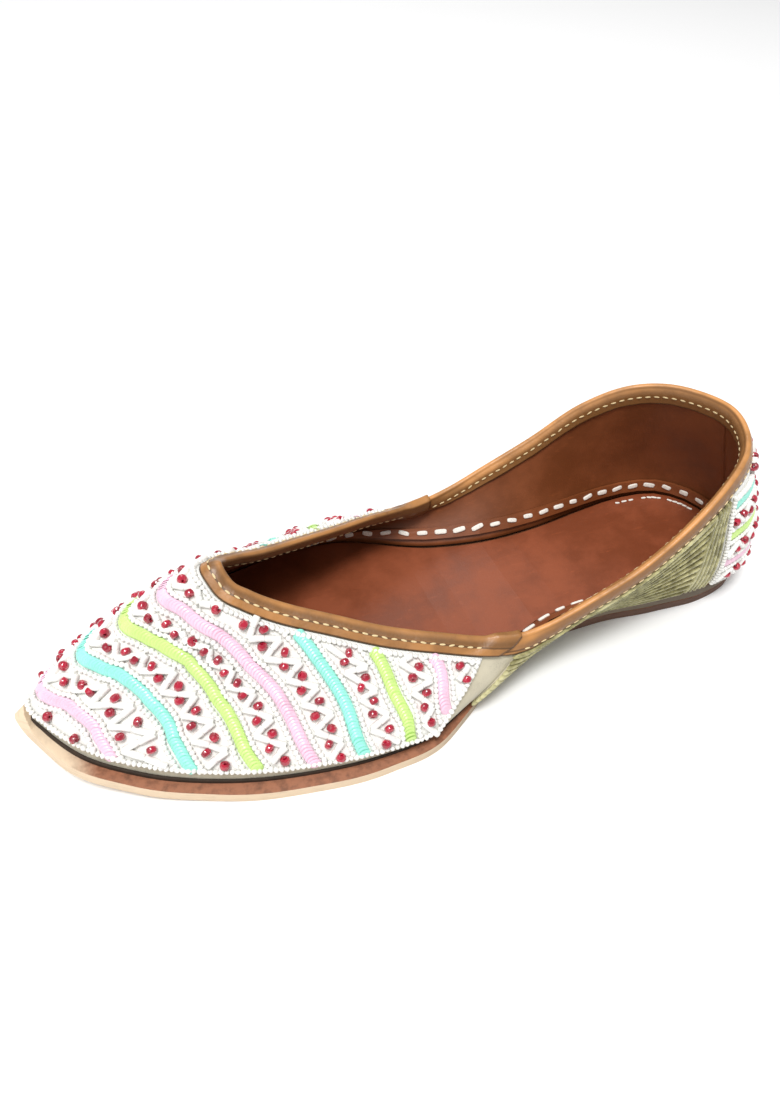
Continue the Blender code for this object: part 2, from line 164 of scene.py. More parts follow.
# Where the pieces start and stop round the shoe, counted in ribs
BEADWORK_END = 7.0
BINDING_MEETING = 7.5
VAMP_BINDING_END = BINDING_MEETING + 0.6
QUARTER_BINDING_START = BINDING_MEETING - 0.12
CORDS_START = 8.05
CORDS_END = 12.45
CORD_BACKING_END = 12.95
COUNTER_START = 13.05
LACE_START = 6.2
INSOLE_STITCHES_REACH = 3.2

# Coloured strips of the vamp, each an arch over the ridge.  Every row gives five places
# on one strip, as rib and height, from the ridge down to the sole.  The first and last
# rows only bound the beadwork.
VAMP_STRIPS = (
    ((0.0, -0.10), (0.3, -0.07), (0.7, -0.05), (1.2, -0.09), (1.8, -0.18)),
    ((0.0, 0.15), (0.42, 0.17), (1.05, 0.20), (1.85, 0.17), (2.75, 0.02)),
    ((0.0, 0.375), (0.55, 0.415), (1.45, 0.445), (2.65, 0.325), (3.8, 0.02)),
    ((0.0, 0.585), (0.65, 0.63), (1.8, 0.645), (3.25, 0.45), (4.6, 0.02)),
    ((0.0, 0.765), (0.8, 0.805), (2.3, 0.775), (3.9, 0.535), (5.24, 0.02)),
    ((0.0, 0.945), (1.3, 0.99), (3.0, 0.955), (4.6, 0.615), (5.84, 0.03)),
    ((0.0, 1.11), (2.4, 1.17), (4.5, 0.94), (5.65, 0.52), (6.6, 0.02)),
    ((0.0, 1.27), (3.6, 1.36), (5.75, 0.88), (6.6, 0.45), (7.33, 0.04)),
    ((0.0, 1.50), (4.6, 1.55), (6.75, 0.90), (7.5, 0.45), (8.1, 0.04)),
)
VAMP_COLOURS = (None, "pink", "mint", "lime", "pink", "mint", "lime", "pink", None)
COUNTER_FIRST_STRIP = 0.2 * MM
COUNTER_STRIP_PITCH = 13.2 * MM
COUNTER_COLOURS = (None, "pink", "lime", "mint", None)

# The camera: 36 mm film, in the shoe's own frame
CAMERA_AZIMUTH = -22.67
CAMERA_ELEVATION = 44.05
CAMERA_ROLL = 0.97
CAMERA_DISTANCE = 0.2484
CAMERA_LENS = 25.43
CAMERA_TARGET = (-0.00785, 0.00558, 0.03024)


def tint(red, green, blue):
    """Linear colour of a colour as it is seen on a screen, from 0 to 255."""
    parts = (red / 255, green / 255, blue / 255)
    return tuple(p / 12.92 if p <= 0.04045 else ((p + 0.055) / 1.055) ** 2.4 for p in parts)


def size(label, words, millimetres):
    return FloatProperty(name=label, description=words, default=millimetres * MM,
                         min=0.0, subtype="DISTANCE", unit="LENGTH")


def colour(label, words, red, green, blue):
    return FloatVectorProperty(name=label, description=words, default=tint(red, green, blue),
                               size=3, min=0.0, max=1.0, subtype="COLOR")


class JuttiSizes(bpy.types.PropertyGroup):
    seed: size("Seed bead", "Width of the white seed beads in the border rows", 1.75)
    seed_pitch: size("Seed bead pitch", "Distance between seed beads in a row", 1.5)
    tube: size("Tube bead", "Width of the white tube beads of the zigzag", 2.1)
    red_bead: size("Glass bead", "Width of the round red glass beads", 3.05)
    sequin: size("Sequin", "Width of the coloured sequins", 3.7)
    sequin_pitch: size("Sequin pitch", "Distance between overlapping sequins", 0.95)
    zigzag_step: size("Zigzag step", "Distance along a band from one corner to the next", 4.2)
    border: size("Border row", "From the middle of a coloured strip to its border row", 2.75)
    corner: size("Zigzag corner", "From the middle of a coloured strip to the corners", 4.3)
    bead_place: size("Glass bead place", "From the middle of a strip to the glass beads", 6.1)
    cord: size("Side cord", "Width of the cords laid along the sides", 1.7)
    binding_stitch: size("Binding stitch", "Length of a stitch on the binding", 1.9)
    binding_stitch_pitch: size("Binding stitch pitch", "From one binding stitch to the next", 2.9)
    inner_stitch: size("Inner stitch", "Length of a stitch on the inner strip", 4.2)
    inner_stitch_pitch: size("Inner stitch pitch", "From one inner stitch to the next", 6.7)


class JuttiColours(bpy.types.PropertyGroup):
    white: colour("White beads", "Glazed white of the seed and tube beads", 246, 245, 240)
    red: colour("Glass beads", "Crimson glass", 184, 16, 52)
    pink: colour("Pink sequins", "Pale pink strips", 250, 205, 226)
    mint: colour("Mint sequins", "Pale blue-green strips", 156, 240, 222)
    lime: colour("Lime sequins", "Pale yellow-green strips", 208, 242, 140)
    ground: colour("Ground cloth", "Cloth under the beads", 250, 249, 244)
    margin: colour("Plain margin", "Cloth that shows beside the beadwork", 190, 182, 160)
    cord: colour("Side cords", "Khaki and gold-green thread", 184, 178, 124)
    cord_light: colour("Side cords, light", "Worn places of the thread", 220, 214, 168)
    cord_dark: colour("Side cords, dark", "Darker fibres of the thread", 124, 118, 72)
    binding: colour("Binding", "Tan leather folded over the topline", 170, 118, 66)
    thread: colour("Thread", "Cream thread of the binding", 232, 208, 158)
    lace: colour("Lace", "White lace of the inner stitches", 248, 244, 234)
    lining: colour("Lining", "Reddish-brown leather of the walls inside", 135, 74, 38)
    insole: colour("Insole", "Reddish-brown leather under the foot", 145, 74, 42)
    ledge: colour("Sole top", "Brown grain side of the sole", 160, 104, 74)
    edge: colour("Sole edge", "Raw cut edge of the sole", 232, 208, 178)
    lift: colour("Heel lift edge", "Raw cut edge of the heel lift", 196, 146, 122)


def times(colour, factor):
    return tuple(min(1.0, part * factor) for part in colour)


def sizes():
    return bpy.context.scene.jutti_sizes


def colours():
    return bpy.context.scene.jutti_colours


def spline(values, knots, wanted, odd, free_end=False):
    """A smooth curve through a column's values, mirrored past both ends, or run straight
    on past the last one where that is free."""
    sign = -1.0 if odd else 1.0
    beyond = 2 * values[-1] - values[-2] if free_end else sign * values[-2]
    points = np.concatenate(([sign * values[1]], values, [beyond]))
    first_gap = knots[1] - knots[0]
    last_gap = knots[-1] - knots[-2]
    places = np.concatenate(([knots[0] - first_gap], knots, [knots[-1] + last_gap]))
    gaps = np.diff(places)
    slopes = np.diff(points) / gaps
    tangents = (slopes[:-1] * gaps[1:] + slopes[1:] * gaps[:-1]) / (gaps[:-1] + gaps[1:])
    index = np.clip(np.searchsorted(knots, wanted, side="right") - 1, 0, len(knots) - 2)
    width = knots[index + 1] - knots[index]
    t = (wanted - knots[index]) / width
    start = (1 + 2 * t) * (1 - t) ** 2 * values[index]
    start_pull = t * (1 - t) ** 2 * width * tangents[index]
    end = t * t * (3 - 2 * t) * values[index + 1]
    end_pull = t * t * (t - 1) * width * tangents[index + 1]
    return start + start_pull + end + end_pull


def sole_rise(x):
    """Height of the outsole's underside above the floor, x counted from the toe."""
    share = np.asarray(x) / SHOE_LENGTH
    spring = TOE_SPRING * np.clip(1.0 - share / SPRING_END, 0.0, None) ** 2
    waist = np.clip((share - WAIST_START) / (WAIST_END - WAIST_START), 0.0, 1.0)
    return spring + (HEEL_LIFT_THICKNESS + GAP) * waist * waist * (3.0 - 2.0 * waist)


class Last:
    """The outer surface of the upper.  A place on it is a rib and a height: ribs run
    from 0 at the toe to 16 at the heel on the near side, and below 0 or past 16 on
    the far side; heights run from 0 at the sole to 1 at the topline."""

    STEPS = 20
    HEIGHTS = 64

    def __init__(self):
        # In the order of RIB_COLUMNS
        scales = (SHOE_LENGTH, BALL_WIDTH / 2, LEDGE, SHOE_LENGTH, BALL_WIDTH / 2,
                  INSTEP_HEIGHT - SIDE_HEIGHT, BACK_HEIGHT - SIDE_HEIGHT,
                  math.radians(1), 1.0, math.radians(1), 1.0)
        self.columns = dict(zip(RIB_COLUMNS, (np.array(RIBS) * scales).T))
        self.columns["top_z"] = (SIDE_HEIGHT + self.columns["to_instep"]
                                 + self.columns["to_back"])
        steps = [np.hypot(np.diff(self.columns[edge + "_x"]), np.diff(self.columns[edge + "_y"]))
                 for edge in ("foot", "top")]
        self.knots = np.concatenate(([0.0], np.cumsum(sum(steps) / 2)))
        heel = self.columns["foot_x"][-1] + self.columns["ledge"][-1]
        self.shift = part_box("outsole")[1].x - heel
        self.fill_grid()

    def place(self, rib):
        return np.interp(rib, np.arange(LAST_RIB + 1), self.knots)

    def column(self, name, place):
        """A column's value at a place.  Past both ends those in y go on with the other sign."""
        return spline(self.columns[name], self.knots, place, name.endswith("_y"))

    def outward(self, edge, place):
        """Level direction that points away from the shoe, square to the foot or top edge."""
        step = 1e-5
        if place <= self.knots[0] + step:
            return -1.0, 0.0
        if place >= self.knots[-1] - step:
            return 1.0, 0.0
        along_x, along_y = (self.column(edge + axis, place + step)
                            - self.column(edge + axis, place - step) for axis in ("_x", "_y"))
        length = math.hypot(along_x, along_y)
        return -along_y / length, along_x / length

    def curve(self, place, shares):
        """Points of one rib at shares of its curve."""
        x, y, top_x, top_y, top_z, flare, lean, low_pull, top_pull = (
            self.column(name, place) for name in (
                "foot_x", "foot_y", "top_x", "top_y", "top_z", "flare", "lean", "low_pull",
                "top_pull"))
        foot = np.array([x, -y, sole_rise(x) + SOLE_THICKNESS + WALL_SEAM])
        top = np.array([top_x, -top_y, top_z])
        length = np.linalg.norm(top - foot)
        out_x, out_y = self.outward("foot", place)
        low = np.array([out_x * math.sin(flare), -out_y * math.sin(flare), math.cos(flare)])
        out_x, out_y = self.outward("top", place)
        high = np.array([out_x * math.cos(lean), -out_y * math.cos(lean), -math.sin(lean)])
        low_end = foot + low_pull * length * low
        high_end = top + top_pull * length * high
        t = shares[:, None]
        return ((1 - t) ** 3 * foot + 3 * t * (1 - t) ** 2 * low_end
                + 3 * t * t * (1 - t) * high_end + t ** 3 * top)

    def fill_grid(self):
        """Work the surface out once, with even heights along each rib."""
        ribs = np.arange(LAST_RIB * self.STEPS + 1) / self.STEPS
        fine = np.linspace(0.0, 1.0, 161)
        heights = np.linspace(0.0, 1.0, self.HEIGHTS + 1)
        rows = []
        lengths = []
        for rib in ribs:
            points = self.curve(float(self.place(rib)), fine)
            steps = np.linalg.norm(np.diff(points, axis=0), axis=1)
            run = np.concatenate(([0.0], np.cumsum(steps)))
            rows.append(np.stack([np.interp(heights * run[-1], run, points[:, k])
                                  for k in range(3)], -1))
            lengths.append(run[-1])
        near = np.array(rows)
        near[[0, -1], :, 1] = 0.0
        near[..., 0] += self.shift
        far = near * (1.0, -1.0, 1.0)
        self.points = np.concatenate([far[:0:-1], near, far[-2::-1]])
        self.lengths = np.concatenate([lengths[:0:-1], lengths, lengths[-2::-1]])
        normals = np.cross(*(np.gradient(self.points, axis=axis) for axis in (0, 1)))
        self.normals = normals / np.linalg.norm(normals, axis=2)[..., None]

    def length(self, rib):
        """Length of the rib from the sole to the topline."""
        count = len(self.lengths)
        return np.interp((np.asarray(rib) + LAST_RIB) * self.STEPS, np.arange(count), self.lengths)

    def read(self, grid, rib, height):
        column = (np.asarray(rib, float) + LAST_RIB) * self.STEPS
        row = np.asarray(height, float) * self.HEIGHTS
        i = np.clip(np.floor(column).astype(int), 0, grid.shape[0] - 2)
        j = np.clip(np.floor(row).astype(int), 0, grid.shape[1] - 2)
        a = (column - i)[..., None]
        b = (row - j)[..., None]
        return ((1 - a) * (1 - b) * grid[i, j] + a * (1 - b) * grid[i + 1, j]
                + (1 - a) * b * grid[i, j + 1] + a * b * grid[i + 1, j + 1])

    def at(self, rib, height, depth=0.0):
        """Points of the surface, moved out by depth or in where it is negative."""
        out = np.asarray(depth)[..., None] * self.normal(rib, height)
        return self.read(self.points, rib, height) + out

    def normal(self, rib, height):
        normal = self.read(self.normals, rib, np.clip(height, 0.0, 1.0))
        return normal / np.linalg.norm(normal, axis=-1)[..., None]

    def sole_edge(self, rib, margin):
        """A point of the sole's outline, margin inside its edge, and how far it is raised."""
        side = -1.0 if rib < 0 or rib > LAST_RIB else 1.0
        rib = abs(rib) if rib <= LAST_RIB else 2 * LAST_RIB - rib
        place = float(self.place(rib))
        out_x, out_y = self.outward("foot", place)
        reach = self.column("ledge", place) - margin
        x = self.column("foot_x", place) + out_x * reach
        y = min(-self.column("foot_y", place) - out_y * reach, 0.0)
        nub = math.exp(-(y / TOE_NUB_HALF_WIDTH) ** 2) if x < SHOE_LENGTH / 4 else 0.0
        return x - nub * TOE_NUB_LENGTH, y * side, nub * TOE_NUB_RISE


LAST = Last()


class Value:
    """A number that varies over a surface, for use in plain expressions."""

    def __init__(self, finish, socket):
        self.finish = finish
        self.socket = socket

    def sum(self, operation, *others):
        node = self.finish.tree.nodes.new("ShaderNodeMath")
        node.operation = operation
        for socket, other in zip(node.inputs, others):
            self.finish.feed(socket, other)
        return Value(self.finish, node.outputs[0])

    def __add__(self, other):
        return self.sum("ADD", self, other)

    def __sub__(self, other):
        return self.sum("SUBTRACT", self, other)

    def __rsub__(self, other):
        return self.sum("SUBTRACT", other, self)

    def __mul__(self, other):
        return self.sum("MULTIPLY", self, other)

    __radd__ = __add__
    __rmul__ = __mul__

    def sine(self):
        return self.sum("SINE", self)

    def size(self):
        return self.sum("ABSOLUTE", self)

    def between(self, low, high, first=0.0, last=1.0):
        """Goes smoothly from first at low to last at high, and stays there."""
        return self.finish.node(
            "ShaderNodeMapRange", {"interpolation_type": "SMOOTHSTEP"}, "Result",
            Value=self, **{"From Min": low, "From Max": high, "To Min": first, "To Max": last})


class Finish:
    """A material, with short ways to make its nodes."""

    def __init__(self, name, **constants):
        self.material = bpy.data.materials.new(name)
        self.material.use_nodes = True
        self.tree = self.material.node_tree
        self.shader = self.tree.nodes["Principled BSDF"]
        for socket, value in constants.items():
            self.shader.inputs[socket.replace("_", " ")].default_value = value

    def feed(self, socket, value):
        if isinstance(value, Value):
            self.tree.links.new(value.socket, socket)
        elif isinstance(value, bpy.types.NodeSocket):
            self.tree.links.new(value, socket)
        elif socket.type == "RGBA" and len(value) == 3:
            socket.default_value = (*value, 1.0)
        else:
            socket.default_value = value

    def node(self, kind, settings, output, **inputs):
        node = self.tree.nodes.new(kind)
        for setting, value in settings.items():
            setattr(node, setting, value)
        for socket, value in inputs.items():
            self.feed(node.inputs[socket], value)
        return Value(self, node.outputs[output])

    def here(self):
        return self.node("ShaderNodeTexCoord", {}, "Object")

    def stretched(self, *scale):
        return self.node("ShaderNodeMapping", {}, "Vector", Vector=self.here(), Scale=scale)

    def noise(self, millimetres, detail=3.0, roughness=0.55, vector=None):
        """Cloudy noise from 0 to 1 with patches about that many millimetres wide."""
        return self.node("ShaderNodeTexNoise", {}, "Fac", Vector=vector or self.here(),
                         Scale=1.0 / (millimetres * MM), Detail=detail, Roughness=roughness)

    def cells(self, millimetres):
        """Distance from the nearest of scattered points that many millimetres apart."""
        return self.node("ShaderNodeTexVoronoi", {}, "Distance", Vector=self.here(),
                         Scale=1.0 / (millimetres * MM))

    def axis(self, vector, name):
        return self.node("ShaderNodeSeparateXYZ", {}, name, Vector=vector)

    def facing_up(self):
        return self.axis(self.node("ShaderNodeNewGeometry", {}, "Normal"), "Z")

    def mix(self, share, first, second):
        node = self.tree.nodes.new("ShaderNodeMix")
        node.data_type = "RGBA"
        self.feed(node.inputs["Factor"], share)
        self.feed(node.inputs[6], first)
        self.feed(node.inputs[7], second)
        return node.outputs[2]

    def shade(self, colour, share, amount):
        """The colour made darker by up to amount where share goes to 1."""
        return self.mix(share, colour, times(colour, 1.0 - amount))

    def finish(self, colour, roughness=None, height=None, strength=0.5, depth=0.2):
        """Lead the colour, roughness and a bump height of so many millimetres in."""
        self.feed(self.shader.inputs["Base Color"], colour)
        if roughness is not None:
            self.feed(self.shader.inputs["Roughness"], roughness)
        if height is not None:
            bump = self.node("ShaderNodeBump", {}, "Normal", Strength=strength,
                             Distance=depth * MM, Height=height)
            self.feed(self.shader.inputs["Normal"], bump)
        return self.material


def glazed_white():
    skin = Finish("white beads", Coat_Weight=0.6, Coat_Roughness=0.12)
    patches = skin.noise(2.2, 2.0)
    colour = skin.shade(colours().white, patches.between(0.45, 0.75), 0.16)
    return skin.finish(colour, patches.between(0.3, 0.7, 0.22, 0.4), skin.noise(0.7), 0.15, 0.1)


def crimson_glass():
    skin = Finish("red glass beads", Coat_Weight=1.0, Coat_Roughness=0.05, IOR=1.55)
    patches = skin.noise(3.0, 1.0)
    colour = skin.shade(colours().red, patches.between(0.35, 0.7), 0.4)
    return skin.finish(colour, patches.between(0.3, 0.7, 0.12, 0.24))


def sequin_film(name):
    skin = Finish(name + " sequins", Coat_Weight=0.35, Coat_Roughness=0.2)
    tone = getattr(colours(), name)
    patches = skin.noise(5.0, 3.0)
    fine = skin.noise(1.0, 2.0)
    colour = skin.shade(tone, patches.between(0.4, 0.8) * 0.6 + fine.between(0.5, 0.8) * 0.4, 0.22)
    return skin.finish(colour, fine.between(0.3, 0.7, 0.26, 0.42), fine, 0.2, 0.1)


def woven_ground():
    skin = Finish("ground cloth", Sheen_Weight=0.25)
    across, along = (skin.axis(skin.here(), axis) * (2 * math.pi / WEAVE_PITCH)
                     for axis in ("X", "Y"))
    weave = across.sine() * along.sine()
    fluff = skin.noise(0.5, 4.0)
    colour = skin.shade(colours().ground, fluff.between(0.4, 0.8), 0.15)
    return skin.finish(colour, 0.85, weave * 0.5 + fluff, 0.6, 0.15)


def plain_margin():
    skin = Finish("margin cloth", Sheen_Weight=0.15)
    stains = skin.noise(9.0, 4.0)
    grain = skin.noise(0.4, 4.0)
    base = colours().margin
    colour = skin.mix(stains.between(0.35, 0.7), times(base, 1.15),
                      skin.shade(base, grain.between(0.4, 0.8), 0.3))
    return skin.finish(colour, 0.8, grain, 0.5, 0.12)


def side_thread():
    skin = Finish("side cord thread", Sheen_Weight=0.3)
    tones = skin.noise(2.5, 3.0)
    wide = skin.noise(14.0, 2.0)
    c = colours()
    middle = skin.mix(tones.between(0.35, 0.65), c.cord_dark, c.cord)
    colour = skin.mix(wide.between(0.45, 0.75) * 0.6, middle, c.cord_light)
    return skin.finish(colour, 0.62, skin.noise(0.25, 3.0), 0.5, 0.1)


def tan_binding(name, groove_at, painted_shade_above, painted_light_level):
    """Leather of a fold: v of its map runs from the outer edge to the inner one, and the
    stitches lie along groove_at, in a dark band of painted shade that stands for a groove."""
    skin = Finish(name + " leather", Coat_Weight=0.12, Coat_Roughness=0.35)
    grain = skin.cells(0.75)
    creases = skin.noise(2.4, 5.0, 0.6)
    patches = skin.noise(11.0, 3.0)
    up = skin.facing_up().between(0.1, 0.95)
    # Each fold gets a darker or lighter copy of the same leather from the last argument: painted
    # shade on the vamp fold, painted highlight on the quarter fold.
    base = times(colours().binding, painted_light_level)
    toned = skin.mix(patches.between(0.3, 0.7), skin.shade(base, creases.between(0.5, 0.8), 0.35),
                     times(base, 1.55))
    across = skin.axis(skin.node("ShaderNodeUVMap", {"uv_map": "strip"}, "UV"), "Y")
    # Painted shade: faces that turn away from above are mixed towards a darker copy of the base.
    colour = skin.mix((up * 0.65).between(0.0, 0.6), times(base, 0.55), toned)
    rims = (across - 0.5).size().between(0.45, 0.49)
    colour = skin.mix(rims * 0.8, colour, times(base, 0.22))
    # Painted shade of a stitch groove that has no shape of its own: a dark band along groove_at.
    groove = (across - groove_at).size()
    colour = skin.mix(groove.between(0.014, 0.034, 0.75, 0.0), colour, times(base, 0.2))
    # Painted shade: the band between the stitches and the roll is darkened by the third argument,
    # on the vamp fold only.
    above = across.between(groove_at, groove_at + 0.05) * across.between(0.3, 0.42, 1.0, 0.0)
    colour = skin.mix(above * painted_shade_above, colour, times(base, 0.45))
    return skin.finish(colour, creases.between(0.3, 0.7, 0.36, 0.55),
                       grain * 0.5 + creases, 0.45, 0.18)


# Painted shadow: a near-black strip put into the gap between the upper and the sole.
def painted_seam_shadow():
    skin = Finish("seam", Roughness=0.8)
    shadow_noise = skin.noise(3.0, 3.0)
    return skin.finish(skin.mix(shadow_noise, (0.012, 0.007, 0.004), (0.05, 0.028, 0.014)), 0.8, shadow_noise)


def brown_leather(name, base, polish):
    skin = Finish(name, Coat_Weight=0.08 * polish, Coat_Roughness=0.3)
    pores = skin.cells(0.6)
    clouds = skin.noise(16.0, 4.0, 0.6)
    scuffs = skin.noise(1.6, 5.0, 0.65, skin.stretched(0.35, 1.0, 1.0))
    colour = skin.mix(clouds.between(0.35, 0.68), times(base, 0.72), base)
    colour = skin.mix(scuffs.between(0.56, 0.78) * 0.45, colour, times(base, 1.35))
    return skin.finish(colour, clouds.between(0.3, 0.7, 0.42, 0.58), pores * 0.5 + scuffs,
                       0.35, 0.12)


def thread(name, base, twist):
    skin = Finish(name, Sheen_Weight=0.2)
    ply = skin.noise(twist, 2.0)
    colour = skin.shade(base, ply.between(0.45, 0.8), 0.3)
    return skin.finish(colour, 0.6, ply, 0.5, 0.12)


def raw_sole(name, edge_colour, top_colour, painted_edge_shade):
    """Cut leather: a brown grain side above, pale fibres with thin layers at the edge, which
    is darkened by painted shade along the waist and heel of the near side."""
    skin = Finish(name)
    layers = skin.noise(0.5, 4.0, 0.6, skin.stretched(0.08, 0.08, 1.0))
    fibres = skin.noise(0.9, 4.0, 0.65)
    stains = skin.noise(12.0, 4.0)
    edge = skin.mix(layers.between(0.45, 0.75) * 0.4 + stains.between(0.5, 0.8) * 0.3,
                    edge_colour, times(edge_colour, 0.66))
    place = skin.here()
    # Painted shade: the edge is darkened along the waist and heel of the near side, as strongly as
    # the last argument says.
    near = skin.axis(place, "Y").between(*EDGE_SHADE_ACROSS, 1.0, 0.0)
    behind = skin.axis(place, "X").between(*EDGE_SHADE_ALONG)
    edge = skin.mix(near * behind * painted_edge_shade, edge, times(edge_colour, 0.1))
    streaks = skin.noise(2.5, 5.0, 0.6)
    top = skin.mix(streaks.between(0.4, 0.7), top_colour, times(top_colour, 0.55))
    up = skin.facing_up().between(0.45, 0.75)
    tip = skin.axis(place, "X") + (streaks - 0.5) * (6 * MM)
    colour = skin.mix(up * tip.between(*PALE_TIP), edge, top)
    return skin.finish(colour, up.between(0.0, 1.0, 0.85, 0.55), layers + fibres * 0.5, 0.55,
                       0.25)


def hand_in(name, bm, material, slot, *replaced):
    """Make a finished piece of a bmesh and let it ride on the shoe."""
    mesh = bpy.data.meshes.new(name)
    bm.to_mesh(mesh)
    bm.free()
    mesh.shade_smooth()
    mesh.set_sharp_from_angle(angle=SHARP_ANGLE)
    mesh.materials.append(material)
    piece = bpy.data.objects.new(name, mesh)
    bpy.context.scene.collection.objects.link(piece)
    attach(piece, "root")
    if replaced:
        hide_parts(*replaced)
    return piece


def face_outwards(bm):
    """Turn a patch of the wall so that its faces look away from the foot."""
    bm.normal_update()
    bm.faces.ensure_lookup_table()
    middle = bm.faces[len(bm.faces) // 3]
    centre = middle.calc_center_median()
    gaps = np.linalg.norm(LAST.points - np.array(centre), axis=2)
    outward = LAST.normals[np.unravel_index(np.argmin(gaps), gaps.shape)]
    if middle.normal.dot(Vector(outward)) < 0:
        bmesh.ops.reverse_faces(bm, faces=bm.faces)


def face_up(bm):
    """Turn a sheet so that the face in its middle looks up."""
    bm.normal_update()
    bm.faces.ensure_lookup_table()
    if bm.faces[len(bm.faces) // 2].normal.z < 0:
        bmesh.ops.reverse_faces(bm, faces=bm.faces)


def flat_grid(columns, rows, uv_map=None):
    """A flat sheet, and where its corners lie along and across it, from 0 to 1."""
    bm = bmesh.new()
    if uv_map:
        bm.loops.layers.uv.new(uv_map)
    bmesh.ops.create_grid(bm, x_segments=columns, y_segments=rows, size=0.5,
                          calc_uvs=bool(uv_map))
    along, across = np.array([vert.co.xy for vert in bm.verts]).T + 0.5
    return bm, along, across


def lay(bm, ribs, heights, depth):
    """Lay a sheet's corners on the wall."""
    for vert, point in zip(bm.verts, LAST.at(ribs, heights, depth)):
        vert.co = point


def wall_patch(first, last, low, high, depth, columns, rows):
    """A sheet that follows the wall between two ribs.  low and high are heights in
    metres above the sole, high below the topline where it isn't above 0."""
    bm, along, across = flat_grid(columns, rows)
    ribs = first + (last - first) * along
    length = LAST.length(ribs)
    start = low / length
    end = high / length if high > 0 else 1.0 + high / length
    lay(bm, ribs, start + (end - start) * across, depth)
    bmesh.ops.remove_doubles(bm, verts=bm.verts, dist=1e-6)
    face_outwards(bm)
    return bm


def thicken(piece, thickness, offset, even=True):
    """Thicken outwards for an offset of 1, inwards for -1, or both ways for 0."""
    modifier = piece.modifiers.new("Thickness", "SOLIDIFY")
    modifier.thickness = thickness
    modifier.offset = offset
    modifier.use_even_offset = even


def sheet(patch, thickness, offset, name, material, slot, *replaced):
    """A piece made of a patch of the wall, thickened."""
    thicken(hand_in(name, wall_patch(*patch), material, slot, *replaced), thickness, offset)


def turned(bm):
    """The same bead turned from Z to X."""
    bmesh.ops.rotate(bm, verts=bm.verts, matrix=Matrix.Rotation(math.pi / 2, 3, "Y"))
    return bm


def ball(around, along):
    bm = bmesh.new()
    bmesh.ops.create_uvsphere(bm, u_segments=around, v_segments=along, radius=0.5)
    return turned(bm)


def tube_bead():
    bm = bmesh.new()
    bmesh.ops.create_cone(bm, cap_ends=True, segments=10, radius1=0.5, radius2=0.5, depth=1.0)
    ends = [edge for edge in bm.edges if abs(edge.verts[0].co.z - edge.verts[1].co.z) < 0.1]
    bmesh.ops.bevel(bm, geom=ends, offset=0.1, segments=2, profile=0.5, affect="EDGES",
                    material=-1)
    return turned(bm)


def glass_bead():
    """A round bead with its hole along X, one unit wide."""
    bm = bmesh.new()
    bmesh.ops.create_circle(bm, segments=8, radius=0.22)
    bmesh.ops.scale(bm, vec=(1.0, 1.7, 1.0), verts=bm.verts)
    bmesh.ops.rotate(bm, verts=bm.verts, matrix=Matrix.Rotation(math.pi / 2, 3, "X"))
    bmesh.ops.translate(bm, verts=bm.verts, vec=(0.28, 0.0, 0.0))
    bmesh.ops.spin(bm, geom=bm.edges[:], axis=(0, 0, 1), cent=(0, 0, 0), angle=2 * math.pi,
                   steps=12, use_merge=True)
    bmesh.ops.remove_doubles(bm, verts=bm.verts, dist=1e-4)
    bmesh.ops.recalc_face_normals(bm, faces=bm.faces)
    return turned(bm)


def sequin():
    bm = bmesh.new()
    bmesh.ops.create_cone(bm, cap_ends=True, segments=14, radius1=0.5, radius2=0.4, depth=0.09)
    return bm


def scatter(name, bead, places, material, slot, *replaced):
    """One piece made of a copy of the bead at each place."""
    template = bpy.data.meshes.new(name + "_bead")
    bead.to_mesh(template)
    bead.free()
    bm = bmesh.new()
    for place in places:
        start = len(bm.verts)
        bm.from_mesh(template)
        bm.verts.ensure_lookup_table()
        bmesh.ops.transform(bm, matrix=place, verts=bm.verts[start:])
    bpy.data.meshes.remove(template)
    hand_in(name, bm, material, slot, *replaced)


def stand(point, along, normal, length, width, height, tilt=0.0, lean=0.0):
    """Matrix of a bead at a point: its X lies along the row and its Z away from the wall.
    tilt turns it in the wall's plane, lean lifts its front."""
    normal = Vector(normal).normalized()
    along = Vector(along)
    along = (along - normal * along.dot(normal)).normalized()
    side = normal.cross(along)
    turn = Matrix((along, side, normal)).transposed().to_4x4()
    turn = turn @ Matrix.Rotation(tilt, 4, "Z") @ Matrix.Rotation(lean, 4, "Y")
    return Matrix.Translation(Vector(point)) @ turn @ Matrix.Diagonal((length, width, height, 1.0))


class Row:
    """A line on the wall given as many ribs and heights, walked in even steps."""

    def __init__(self, ribs, heights, depth):
        self.ribs = np.asarray(ribs, float)
        self.heights = np.asarray(heights, float)
        self.points = LAST.at(self.ribs, self.heights, depth)
        steps = np.linalg.norm(np.diff(self.points, axis=0), axis=1)
        self.run = np.concatenate(([0.0], np.cumsum(steps)))

    def stops(self, pitch):
        """Points, directions, normals, ribs and heights at even steps."""
        wanted = (0.5 + np.arange(max(int(self.run[-1] / pitch + 0.5), 0))) * pitch
        wanted = wanted[wanted <= self.run[-1]]

        def read(lines):
            return np.stack([np.interp(wanted, self.run, line) for line in lines], -1)

        ribs, heights = read((self.ribs, self.heights)).T
        slopes = np.gradient(self.points, self.run + np.arange(len(self.run)) * 1e-12, axis=0)
        return list(zip(read(self.points.T), read(slopes.T), LAST.normal(ribs, heights),
                        ribs, heights))


def seed_depth():
    return GROUND_TOP + 0.5 * sizes().seed - SEED_SINK


